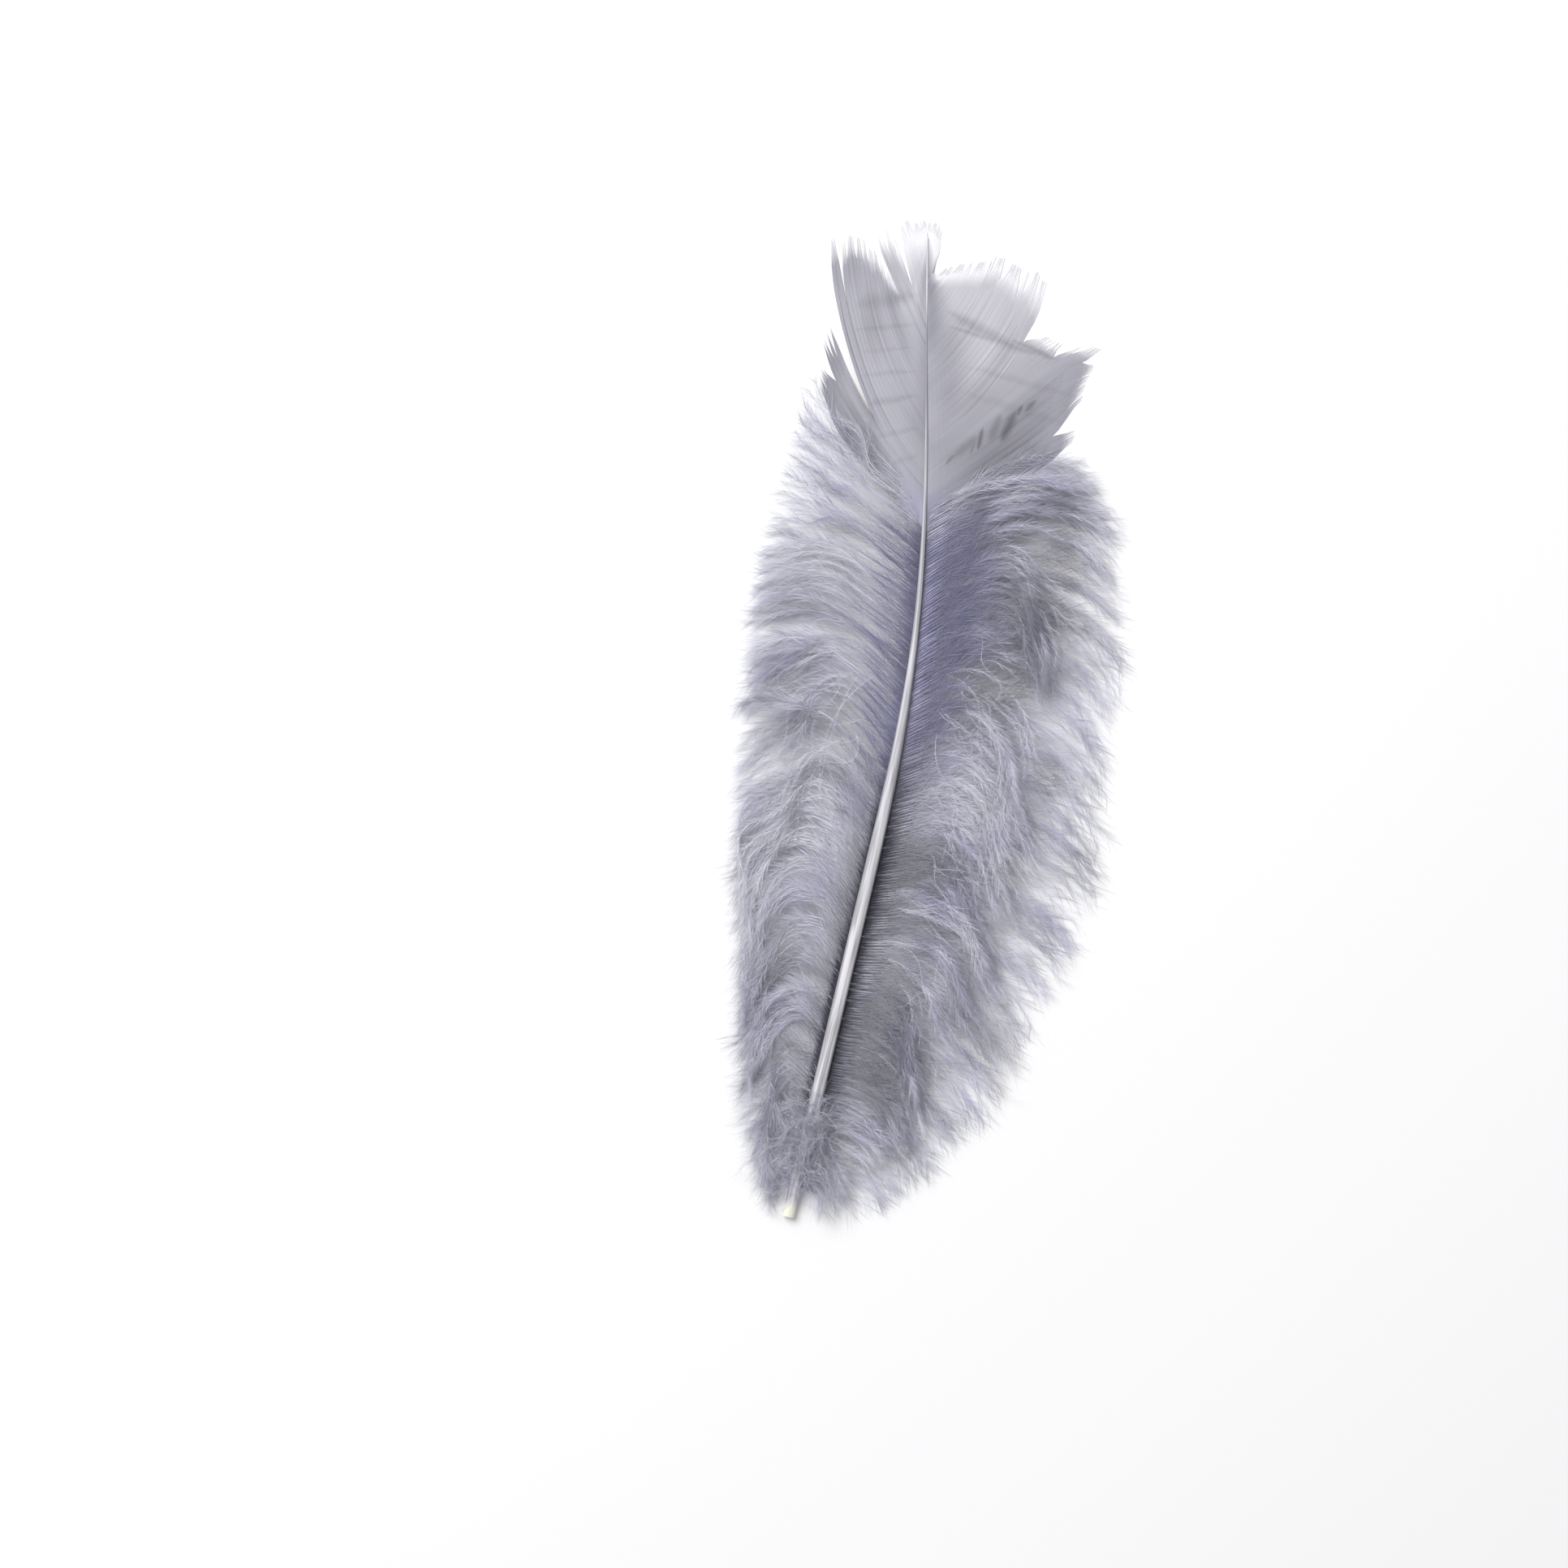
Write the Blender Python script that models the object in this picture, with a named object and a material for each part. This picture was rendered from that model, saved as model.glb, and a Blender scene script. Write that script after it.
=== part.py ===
"""A goose feather lying on a flat surface, in metres, with +Z up.

The feather points along +Y from the cut end of its quill to the tip of its vane. Its shaft leans to
the right from the cut end, straightens halfway up, and arches over the surface. The top third is a
closed vane, parted into lobes with a ragged end. Below it locks of down spread to both sides and
droop to the surface. A feather grows as one piece, so shaft, vane and locks are fused into one
solid, which is flat where it rests. The origin is on the surface, under the middle of the feather.
"""

import math

import bmesh
import bpy
from mathutils import Vector

# Where the cut end of the quill lies. Every other place is measured from that end.
QUILL_END = Vector((-0.01889, -0.06731))

# The shaft, from the cut end (0) to its tip (SHAFT_LENGTH).
SHAFT_LENGTH = 0.1345
LOWER_LEAN = math.radians(13.2)
UPPER_LEAN = math.radians(0.6)
STRAIGHTENS_FROM, STRAIGHTENS_TO = 0.048, 0.112
SHAFT_WIDTH, TIP_WIDTH = 0.0019, 0.0006
TAPERS_FROM, TAPERS_TO = 0.025, 0.126
END_HEIGHT, TIP_HEIGHT, ARCH_HEIGHT = 0.0008, 0.0004, 0.0056
SHAFT_RINGS, SHAFT_SIDES = 46, 8

# The closed vane. A lobe's barbs leave the shaft between two places along it, at two launch angles
# from it in degrees, and end on the curve through the lobe's tips. Each second barb is a ridge, and
# ends short by RAGGED. Barbs on both sides of a slit are joined up to SLIT_ROW.
VANE_THICKNESS = 0.0005
VANE_TOP_LYING = 0.0004
VANE_TOP_OVER_SHAFT = 0.000125
VANE_LIES_FROM = 0.8
VANE_ROWS = 9
ROOT_OVERLAP = 0.00012
SLIT_ROW = 5
BARB_RIDGE = 0.00022
RAGGED = 0.0008
LEFT_LOBES = (
    dict(
        roots=(0.0920, 0.0972),
        launch=(60, 46),
        tips=((0.0022, 0.1140), (0.0046, 0.1165), (0.0078, 0.1185)),
        barbs=5,
    ),
    dict(
        roots=(0.0985, 0.1190),
        launch=(42, 26),
        tips=((0.0055, 0.1326), (0.0092, 0.1333), (0.0127, 0.1318)),
        barbs=10,
    ),
    dict(
        roots=(0.1196, 0.1216),
        launch=(26, 22),
        tips=((0.0133, 0.1328), (0.0139, 0.1335), (0.0145, 0.1320)),
        barbs=3,
    ),
    dict(
        roots=(0.1224, 0.1336),
        launch=(20, 2),
        tips=((0.0152, 0.1344), (0.0169, 0.1348), (0.0186, 0.1348)),
        barbs=6,
    ),
)
RIGHT_LOBES = (
    dict(
        roots=(0.0955, 0.1010),
        launch=(76, 66),
        tips=((0.0443, 0.1150), (0.0435, 0.1186), (0.0400, 0.1188)),
        barbs=4,
    ),
    dict(
        roots=(0.1018, 0.1055),
        launch=(66, 60),
        tips=((0.0396, 0.1192), (0.0385, 0.1180), (0.0362, 0.1190)),
        barbs=3,
    ),
    dict(
        roots=(0.1062, 0.1270),
        launch=(60, 44),
        tips=((0.0351, 0.1280), (0.0285, 0.1296), (0.0212, 0.1272)),
        barbs=11,
    ),
    dict(
        roots=(0.1285, 0.1338),
        launch=(16, 2),
        tips=((0.0209, 0.1334), (0.0203, 0.1344), (0.0190, 0.1348)),
        barbs=3,
    ),
)

# The down: locks that leave the shaft between two places along it, and end on an outline. They
# launch at an angle from the shaft in degrees, given from the lowest lock to the highest.
LOCKS_EACH_SIDE = 32
FIRST_LOCK, LAST_LOCK = 0.0055, 0.0965
RIGHT_LOCKS_AHEAD = 0.0013
LEFT_OUTLINE = (
    (-0.0030, 0.0020),
    (-0.0062, 0.0150),
    (-0.0075, 0.0330),
    (-0.0078, 0.0500),
    (-0.0070, 0.0680),
    (-0.0052, 0.0850),
    (-0.0020, 0.1000),
    (0.0030, 0.1140),
)
RIGHT_OUTLINE = (
    (0.0130, 0.0010),
    (0.0270, 0.0130),
    (0.0365, 0.0300),
    (0.0425, 0.0480),
    (0.0452, 0.0660),
    (0.0455, 0.0830),
    (0.0452, 0.0980),
    (0.0446, 0.1110),
)
LEFT_LAUNCH = (80, 56, 48, 48, 50, 52, 52, 50)
RIGHT_LAUNCH = (95, 84, 78, 70, 60, 52, 50, 56)
LOCK_WIDTH = 0.0056
MOST_WIDTH_TO_LENGTH = 0.3
LOCK_THICKNESS = 0.0017
LOCK_LIFT = 0.0015
LOCK_CROWN = 0.0016
LOCK_TIP_HEIGHT = 0.0001
LOCK_LIES_FROM = 0.88
LOCK_RINGS = 7

# A lock's width along it: LEAST_SWELL at its ends, widest past its middle by FULLEST_OUT, and
# rounder in outline the lower FULLNESS is. Its end strays from the outline by up to UNEVEN, in a
# wave that turns by UNEVEN_TURN from one lock to the next.
LEAST_SWELL = 0.05
FULLEST_OUT = 1.25
FULLNESS = 0.7
UNEVEN = 0.0016
UNEVEN_TURN = 2.4

BARB_COLOUR = (0.42, 0.41, 0.50, 1)
BARB_ROUGHNESS = 0.75

SURFACE_SIZE = 0.4
PATH_STEP = 0.0005
BARB_STIFFNESS, LOCK_STIFFNESS = 0.45, 0.55
LEFT, RIGHT = -1, 1


def mix(first, last, share):
    return first + (last - first) * share


def smoothstep(low, high, value):
    """0 below low, 1 above high, and a smooth rise between them."""
    share = min(1.0, max(0.0, (value - low) / (high - low)))
    return share * share * (3 - 2 * share)


def along_values(values, share):
    """The value at this share of the way along an even row of numbers or points."""
    place = share * (len(values) - 1)
    low = min(int(place), len(values) - 2)
    return mix(values[low], values[low + 1], place - low)


def along_curve(points, share):
    """The same along a smooth curve through the points."""
    place = share * (len(points) - 1)
    low = min(int(place), len(points) - 2)
    part = place - low
    before, start, end, after = (
        Vector(points[min(max(low + step, 0), len(points) - 1)]) for step in (-1, 0, 1, 2)
    )
    bend = 2 * before - 5 * start + 4 * end - after
    return start + 0.5 * part * (end - before + part * (bend + part * (3 * (start - end) + after - before)))


# ---- The shaft's line -------------------------------------------------------------------------


def lean(along):
    """Angle between the shaft and +Y, towards +X."""
    return mix(LOWER_LEAN, UPPER_LEAN, smoothstep(STRAIGHTENS_FROM, STRAIGHTENS_TO, along))


def shaft_width(along):
    return mix(SHAFT_WIDTH, TIP_WIDTH, smoothstep(TAPERS_FROM, TAPERS_TO, along))


def shaft_height(along):
    """Height of the shaft's centre over the surface."""
    share = min(1.0, along / SHAFT_LENGTH)
    return mix(END_HEIGHT, TIP_HEIGHT, share) + ARCH_HEIGHT * math.sin(math.pi * share)


def shaft_line():
    """Flat points along the shaft, PATH_STEP apart."""
    points, place, along = [QUILL_END.copy()], QUILL_END.copy(), 0.0
    while along < SHAFT_LENGTH:
        angle = lean(along + PATH_STEP / 2)
        place = place + PATH_STEP * Vector((math.sin(angle), math.cos(angle)))
        points.append(place)
        along += PATH_STEP
    return points


LINE = shaft_line()


def shaft_point(along):
    """Centre of the shaft at this distance from its cut end, seen from above."""
    place = min(along / PATH_STEP, len(LINE) - 1.001)
    return LINE[int(place)].lerp(LINE[int(place) + 1], place % 1)


def barb_line(along, side, launch, tip, stiffness, rows):
    """Flat points of a barb that leaves the shaft at an angle of launch degrees and bends to its tip."""
    root = shaft_point(along)
    angle = lean(along) + side * math.radians(launch)
    bend = root + stiffness * (tip - root).length * Vector((math.sin(angle), math.cos(angle)))
    shares = [row / rows for row in range(rows + 1)]
    return [root.lerp(bend, share).lerp(bend.lerp(tip, share), share) for share in shares]


# ---- Solids -----------------------------------------------------------------------------------


def object_from(mesh, name):
    data = bpy.data.meshes.new(name)
    mesh.to_mesh(data)
    mesh.free()
    return bpy.data.objects.new(name, data)


def ring_solid(name, rings):
    """A closed solid through rings of equally many points."""
    mesh = bmesh.new()
    made = [[mesh.verts.new(point) for point in ring] for ring in rings]
    sides = len(made[0])
    for low, high in zip(made, made[1:]):
        for side in range(sides):
            after = (side + 1) % sides
            mesh.faces.new((low[side], low[after], high[after], high[side]))
    mesh.faces.new(reversed(made[0]))
    mesh.faces.new(made[-1])
    bmesh.ops.triangulate(mesh, faces=mesh.faces)
    bmesh.ops.recalc_face_normals(mesh, faces=mesh.faces)
    return object_from(mesh, name)


def shaft(name):
    """The quill and its shaft: a tapered rod with a flat cut at its foot."""
    rings = []
    for ring in range(SHAFT_RINGS):
        along = SHAFT_LENGTH * ring / (SHAFT_RINGS - 1)
        centre = Vector((*shaft_point(along), shaft_height(along)))
        across = Vector((math.cos(lean(along)), -math.sin(lean(along)), 0))
        up = Vector((0, 0, 1))
        turns = [2 * math.pi * (side + 0.5) / SHAFT_SIDES for side in range(SHAFT_SIDES)]
        radius = shaft_width(along) / 2
        rings.append([centre + radius * (math.cos(turn) * across + math.sin(turn) * up) for turn in turns])
    return ring_solid(name, rings)


def vane_height(along, share, ridge):
    """Height of the vane's top, which falls from the shaft and lies on the surface further out."""
    lying = VANE_TOP_LYING + ridge
    return mix(shaft_height(along) + VANE_TOP_OVER_SHAFT, lying, smoothstep(0, VANE_LIES_FROM, share))


def vane(name, side, lobes):
    """One side of the closed vane: a ribbed sheet of barbs, slit between its lobes."""
    mesh = bmesh.new()
    before = None
    for lobe in lobes:
        last = lobe["barbs"] - 1
        for barb in range(lobe["barbs"]):
            share = barb / last
            along, launch = mix(*lobe["roots"], share), mix(*lobe["launch"], share)
            tip = QUILL_END + along_curve(lobe["tips"], share)
            root = shaft_point(along)
            tip = tip + RAGGED * (barb % 2) * (root - tip).normalized()
            ridge = BARB_RIDGE * (barb % 2)
            flat = barb_line(along, side, launch, tip, BARB_STIFFNESS, VANE_ROWS)
            flat[0].x -= side * ROOT_OVERLAP
            points = [
                mesh.verts.new((*point, vane_height(along, row / VANE_ROWS, ridge)))
                for row, point in enumerate(flat)
            ]
            joined = SLIT_ROW if barb == 0 else VANE_ROWS
            for row in range(joined if before else 0):
                mesh.faces.new((before[row], points[row], points[row + 1], before[row + 1]))
            before = points
    under = bmesh.ops.extrude_face_region(mesh, geom=mesh.faces, use_keep_orig=True)["geom"]
    moved = [item for item in under if isinstance(item, bmesh.types.BMVert)]
    bmesh.ops.translate(mesh, verts=moved, vec=(0, 0, -VANE_THICKNESS - BARB_RIDGE))
    bmesh.ops.recalc_face_normals(mesh, faces=mesh.faces)
    return object_from(mesh, name)


def lock(name, side, number):
    """One lock of down: a flat, pointed spindle that rises from the shaft and droops to the surface."""
    share = number / (LOCKS_EACH_SIDE - 1)
    along = mix(FIRST_LOCK, LAST_LOCK, share) + (RIGHT_LOCKS_AHEAD if side == RIGHT else 0)
    outline = RIGHT_OUTLINE if side == RIGHT else LEFT_OUTLINE
    tip = QUILL_END + along_curve(outline, share)
    root = shaft_point(along)
    tip = tip + UNEVEN * math.sin(number * UNEVEN_TURN + side) * (tip - root).normalized()
    launch = along_values(RIGHT_LAUNCH if side == RIGHT else LEFT_LAUNCH, share)
    flat = barb_line(along, side, launch, tip, LOCK_STIFFNESS, LOCK_RINGS)
    lift = LOCK_LIFT * (number % 2)
    width = min(LOCK_WIDTH, MOST_WIDTH_TO_LENGTH * (tip - root).length)
    rings = []
    for row, point in enumerate(flat):
        out = row / LOCK_RINGS
        ahead = flat[min(row + 1, LOCK_RINGS)] - flat[max(row - 1, 0)]
        across = Vector((ahead.y, -ahead.x, 0)).normalized()
        swell = math.sin(math.pi * mix(LEAST_SWELL, 1, out) ** FULLEST_OUT) ** FULLNESS
        swell = max(LEAST_SWELL, swell)
        fallen = min(1, out / LOCK_LIES_FROM)
        crown = (LOCK_CROWN + lift) * math.sin(math.pi * fallen)
        height = mix(shaft_height(along), LOCK_TIP_HEIGHT + lift, smoothstep(0, 1, fallen)) + crown
        centre = Vector((*point, height))
        wide = width / 2 * swell * across
        thick = Vector((0, 0, LOCK_THICKNESS / 2 * swell))
        rings.append([centre + wide, centre + thick, centre - wide, centre - thick])
    return ring_solid(name, rings)


def helper(obj, collection):
    """Puts a shape that is fused into the feather, or cuts it, out of sight."""
    collection.objects.link(obj)
    obj.hide_render = True
    obj.display_type = "WIRE"


def surface():
    """What the feather lies on: it cuts off what would reach below it."""
    mesh = bmesh.new()
    bmesh.ops.create_cube(mesh, size=SURFACE_SIZE)
    bmesh.ops.translate(mesh, verts=mesh.verts, vec=(0, 0, -SURFACE_SIZE / 2))
    return object_from(mesh, "surface")


def grey_barbs():
    material = bpy.data.materials.new("grey_barbs")
    material.use_nodes = True
    shader = material.node_tree.nodes["Principled BSDF"]
    shader.inputs["Base Color"].default_value = BARB_COLOUR
    shader.inputs["Roughness"].default_value = BARB_ROUGHNESS
    shader.inputs["Metallic"].default_value = 0
    return material


def feather():
    scene = bpy.context.scene.collection
    grown = bpy.data.collections.new("grown_from_shaft")
    scene.children.link(grown)
    helper(vane("left_vane", LEFT, LEFT_LOBES), grown)
    helper(vane("right_vane", RIGHT, RIGHT_LOBES), grown)
    for side, word in ((LEFT, "left"), (RIGHT, "right")):
        for number in range(LOCKS_EACH_SIDE):
            helper(lock(f"{word}_lock_{number + 1}", side, number), grown)

    whole = shaft("feather")
    scene.objects.link(whole)
    fuse = whole.modifiers.new("vane_and_down", "BOOLEAN")
    fuse.operation = "UNION"
    fuse.operand_type = "COLLECTION"
    fuse.collection = grown
    below = surface()
    helper(below, scene)
    rest = whole.modifiers.new("flat_where_it_rests", "BOOLEAN")
    rest.operation = "DIFFERENCE"
    rest.object = below
    whole.data.materials.append(grey_barbs())
    return whole


for old in list(bpy.data.objects):
    bpy.data.objects.remove(old)
feather()
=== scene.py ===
"""Dresses the goose feather: its quill, the closed vane and the down, barb by barb, and a stage."""

import math
from collections import namedtuple

import bpy
import numpy as np
from bpy.props import FloatProperty, FloatVectorProperty, IntProperty, PointerProperty
from bpy.types import NodeSocket, Operator, Panel, PropertyGroup
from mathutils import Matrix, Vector


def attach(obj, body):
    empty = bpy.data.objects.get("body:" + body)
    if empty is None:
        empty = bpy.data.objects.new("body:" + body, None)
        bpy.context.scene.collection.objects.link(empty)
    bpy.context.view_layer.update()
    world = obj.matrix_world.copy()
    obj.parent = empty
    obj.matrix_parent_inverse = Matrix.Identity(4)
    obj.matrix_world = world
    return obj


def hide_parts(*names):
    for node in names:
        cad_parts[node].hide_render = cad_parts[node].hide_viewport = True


bl_info = {
    "name": "Goose feather",
    "version": (1, 0, 0),
    "blender": (4, 5, 0),
    "location": "View3D > Sidebar > Feather",
    "description": "Grows a loose goose feather barb by barb around its packed model",
    "category": "Object",
}

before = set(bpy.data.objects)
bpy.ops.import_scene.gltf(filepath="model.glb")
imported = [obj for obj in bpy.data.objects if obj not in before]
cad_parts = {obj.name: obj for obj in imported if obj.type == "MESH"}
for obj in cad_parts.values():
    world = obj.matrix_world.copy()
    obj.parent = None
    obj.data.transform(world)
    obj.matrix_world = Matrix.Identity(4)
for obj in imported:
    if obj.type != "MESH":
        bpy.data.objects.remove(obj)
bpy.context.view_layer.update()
NODE = "feather"
LEFT, RIGHT = -1, 1
MM = 0.001

# Lengths are in millimetres until a mesh is made, and places on the shaft count from the quill's cut end.

# ---- The shaft ----

QUILL_END = np.array((-18.89, -67.31))
SHAFT_LENGTH = 134.5
LOWER_LEAN, UPPER_LEAN = math.radians(13.2), math.radians(0.6)
STRAIGHTENS_FROM, STRAIGHTENS_TO = 48, 112
SHAFT_WIDTHS = (
    (0, 10, 50, 60, 72, 81, 100, 112, 120, 134.5),
    (1.6, 1.76, 1.75, 1.56, 1.12, 0.85, 0.48, 0.34, 0.22, 0.08),
)
UPPER_SHAFT = (42, 56, 70, 84, 93, 101, 113), (0, 0.2, 0.2, 0.42, 0.62, 0.34, 1)
END_HEIGHT, TIP_HEIGHT, ARCH_HEIGHT = 0.8, 0.4, 5.6
PATH_STEP = 0.5
QUILL_RINGS, QUILL_SIDES = 220, 28
GROOVE_TURNS = (1.1, 2.0, 4.71)
HOLLOW_DEPTH, RIM_SHARE, PITH_SHARE = 1.1, 0.66, 0.5
DRY_PITH = (0.90, 0.88, 0.76)

# ---- The vane ----

# A lobe of the vane: where on the shaft its first and last barbs grow, their angles to it, a curve through
# their tips, how loosely they lie, how far out the slit above them starts, how long their pale ends are and
# how pale they are before those.
Lobe = namedtuple("Lobe", "roots launch tips loose slit fade pale")
LEFT_LOBES = (
    Lobe((95.0, 99.6), (52, 46), ((3.0, 112.4), (3.6, 117.0), (5.6, 120.8)), 0.8, 0.42, 1.0, 0),
    Lobe(
        (100.2, 119), (43, 28), ((5.6, 132.3), (8.4, 133.2), (10.6, 132), (12.5, 129.4), (14.2, 126.8)),
        0.2, 0.66, 3, 0.05,
    ),
    Lobe((119.4, 121.6), (27, 23), ((11.8, 133.4), (13.4, 133.5), (14.6, 132.0)), 1.0, 0.5, 4.5, 0.35),
    Lobe((122.2, 133.8), (20, 2), ((15.2, 134.4), (17.0, 134.8), (18.7, 134.8)), 0.2, 1.0, 7.5, 0.25),
)  # fmt: skip
RIGHT_LOBES = (
    Lobe((94.5, 101.5), (60, 50), ((39.2, 104.5), (40.4, 111.5), (43.4, 117.2)), 0.05, 0.97, 1.6, 0),
    Lobe((101.8, 105.6), (51, 53), ((43.4, 117.9), (39.4, 118.3), (34.8, 119.8)), 0.1, 0.9, 3.0, 0.1),
    Lobe((105.9, 127.8), (57, 36), ((35.2, 127.6), (28.5, 129.6), (21.4, 128.4)), 0.08, 0.4, 4.0, 0.36),
    Lobe((128.2, 133.9), (18, 2), ((20.9, 133.4), (20.4, 134.4), (19.0, 134.8)), 0.2, 1.0, 7.5, 0.3),
)
VANE_ROWS = 24
VANE_STIFFNESS = 0.45
VANE_FLOOR = 0.03
SLIT_PULLS = 24

# Dark marks of uneven growth across the vane, and painted shade in small open slits in it: both ends of
# each, half its width and how dark it is.
MARKS_AND_SLIT_SHADE = (
    (2.6, 55.2, 12.8, 49.6, 1.49, 0.36), (3, 54.6, 11.6, 51.4, 0.47, 0.26),
    (2.6, 53.2, 16.8, 48.9, 0.74, 0.36), (11, 51.4, 17.8, 48.6, 0.68, 0.38),
    (4.5, 47.8, 20.5, 43.6, 0.94, 0.15), (4, 44.2, 20, 39.6, 1.08, 0.13),
    (-9.8, 56.2, -1.2, 57.4, 2.03, 0.29), (-10, 52.6, -1.2, 53.4, 0.68, 0.2),
    (-9.6, 49.6, -1.2, 50.2, 0.54, 0.15), (-9.2, 46.4, -1.2, 47, 0.61, 0.19),
    (-8.6, 42.4, -1.2, 43.6, 0.81, 0.29), (-7.2, 38, -1.2, 39, 0.68, 0.2),
    (-5, 34.2, -1.2, 35.4, 0.68, 0.17), (2.2, 34.2, 3.7, 35.6, 0.4, 0.6), (3, 34.9, 6.9, 38.2, 0.95, 0.42),
    (5.6, 35.2, 6.4, 37.9, 0.36, 0.45), (6.6, 36, 7.4, 39.4, 0.55, 0.8), (8.2, 37.2, 9.9, 41.2, 1, 0.45),
    (9.8, 37.2, 12, 41.8, 1.15, 0.8), (11.9, 40.8, 12.9, 42.4, 0.5, 0.7),
    (13, 41.5, 14.8, 43.2, 0.55, 0.65),
)

# ---- The down ----

FIRST_DOWN, LAST_DOWN = 4.5, {LEFT: 99.0, RIGHT: 97.5}
LEAST_PLACE, MOST_PLACE = np.array((-27.2, -66.6)), np.array((27.4, 52.0))
HIGHEST = 8.3
NEAREST = 2.3
DOWN_ROWS, FLUFF_ROWS, CURL_ROWS, WEB_ROWS = 18, 20, 16, 5
WEB_REACH = {LEFT: 3.2, RIGHT: 4.5}
CURLS, STRAYS = 150, 64
BARBULE_LEAN, BARBULE_RATIO, BARBULE_SPREAD = math.radians(28), 0.0085, 0.9
LEAST_OPENING = 1.8
DOWN_FLOOR = 0.05

# Outlines that the down reaches, and the angles to the shaft at which the lower layer's barbs leave it and
# end, from the lowest barb up.
OUTLINES = {
    LEFT: ((-3, 2), (-6.2, 15), (-7.5, 33), (-7.8, 50), (-7, 68), (-5.2, 85), (-2, 100), (3, 114)),
    RIGHT: ((13, 1), (27, 13), (36.5, 30), (42.5, 48), (45.2, 66), (45.5, 83), (43.4, 96), (40, 103.5)),
}
LAUNCHES = {LEFT: (85, 60, 50, 48, 50, 54, 56, 52), RIGHT: (95, 86, 80, 70, 58, 50, 50, 58)}
ENDS = {LEFT: (150, 150, 148, 146, 140, 124, 90, 24), RIGHT: (140, 132, 128, 128, 132, 134, 124, 96)}

# The fluff's barbs: where on the shaft one grows, how long it is, and its angles to the shaft at even steps.
FLUFF_FLOWS = {
    LEFT: (
        (4, 9, (95, 120, 140, 155, 165, 172, 176)), (12, 14, (66, 90, 130, 155, 168, 176, 180)),
        (25, 26, (50, 70, 122, 158, 176, 185, 190)), (40, 31, (44, 52, 96, 150, 175, 187, 190)),
        (52, 32, (46, 46, 58, 112, 158, 178, 186)), (65, 30, (54, 50, 52, 88, 138, 160, 168)),
        (80, 27, (62, 60, 60, 76, 110, 140, 150)), (90, 23, (60, 58, 60, 66, 86, 115, 130)),
        (97, 19, (54, 52, 50, 52, 56, 66, 78)),
    ),
    RIGHT: (
        (4, 8, (100, 112, 125, 138, 150, 156, 160)), (12, 12, (92, 98, 112, 128, 140, 148, 152)),
        (25, 24, (84, 90, 112, 134, 144, 148, 148)), (40, 29, (78, 84, 112, 138, 148, 150, 148)),
        (55, 31, (68, 72, 98, 136, 150, 152, 150)), (70, 31, (52, 54, 76, 124, 148, 154, 154)),
        (82, 30, (48, 50, 62, 100, 140, 152, 154)), (90, 29, (56, 60, 74, 98, 118, 124, 128)),
        (97, 22, (58, 60, 66, 84, 92, 80, 64)),
    ),
}

# Painted light and shade on the down: pale where tufts catch the light, dark in the holes between tufts.
# Each spot has a place on the feather, how far around it and how much.
LIGHT_AND_SHADE_SPOTS = (
    (-6.4, 30.4, 4, 0.35), (-8.5, 15, 5, 0.1), (-15.3, -7, 3.6, 0.38), (6, -12.5, 5.5, 0.9),
    (16.2, -1.5, 5, 0.35), (9.6, -26.8, 7, 0.2), (8, 21.6, 4.5, -0.3), (10, 14, 5, -0.35),
    (11.2, 4.6, 3.4, -1), (20, 32, 4, -0.1), (16.2, 27, 4, -0.35), (15.6, -7.6, 2.5, -0.8),
    (11.8, -15.3, 2.5, -0.6), (-1.4, -21.3, 4.5, -0.5), (-6.2, -38.5, 4.5, -0.5), (-19, 16, 4, -0.18),
    (-12.4, -7, 2.2, -0.4), (-20.5, 33, 4, -0.15), (2.5, -18.8, 3, -0.35), (14.5, 15.5, 3, -0.45),
    (23, 26.5, 3.5, 0.25), (13.5, 11, 1.8, -0.5), (17.5, 21, 2, -0.45), (19.5, 9, 4, 0.2),
    (-6.4, -44.5, 4.5, -0.6), (-8, -49.5, 5, -0.45), (-15.5, -17, 4.5, 0.18), (5, 3, 4, -0.3),
    (9, -20.6, 2, -0.5), (4.8, -33, 2.5, -0.4), (13, -21, 3, 0.25), (-3, 20.5, 4.5, -0.3),
)


# ---- Settings ----


def sized(name, description, default):
    return FloatProperty(name=name, description=description, default=default * MM, unit="LENGTH")


def tinted(name, description, default):
    return FloatVectorProperty(
        name=name, description=description, default=default, subtype="COLOR", size=3, min=0, max=1
    )


class FeatherShape(PropertyGroup):
    """The dye's colours on barbs and quill, and the colours of the down's painted shade and painted
    highlights.
    """

    vane_spacing: sized("Vane barb spacing", "Along the shaft", 0.34)
    down_spacing: sized("Down barb spacing", "Along the shaft", 0.36)
    barbule_spacing: sized("Barbule spacing", "Between barbules along a barb of down", 0.24)
    barbule_length: sized("Barbule length", "Of the down's longest barbules", 4.4)
    seed: IntProperty(name="Seed", description="Changes where single barbs stray", default=7)


class FeatherColours(PropertyGroup):
    """The dye's colours on barbs and quill."""

    down: tinted("Down", "Colour of the down", (0.74, 0.735, 0.86))
    down_lavender: tinted("Lavender down", "Colour of down that took up more dye", (0.66, 0.65, 0.88))
    # Both the palest barbs and painted highlights on bright tufts and on the sleek band.
    down_pale_and_highlight: tinted("Pale barbs", "Colour of the down's palest barbs", (0.91, 0.91, 1.0))
    # Painted shade: near-black laid beside the lower shaft and in the deepest gaps between tufts.
    down_painted_shade: tinted("Down by the shaft", "Beside the lower shaft", (0.05, 0.05, 0.075))
    down_violet: tinted("Gathered dye", "Where the vane turns to down", (0.29, 0.28, 0.47))
    vane: tinted("Vane", "Colour of the closed vane", (0.315, 0.312, 0.362))
    vane_tip: tinted("Vane ends", "Where the vane thins out", (0.77, 0.76, 0.80))
    quill: tinted("Quill", "Colour of the horn", (0.66, 0.65, 0.69))


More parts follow.
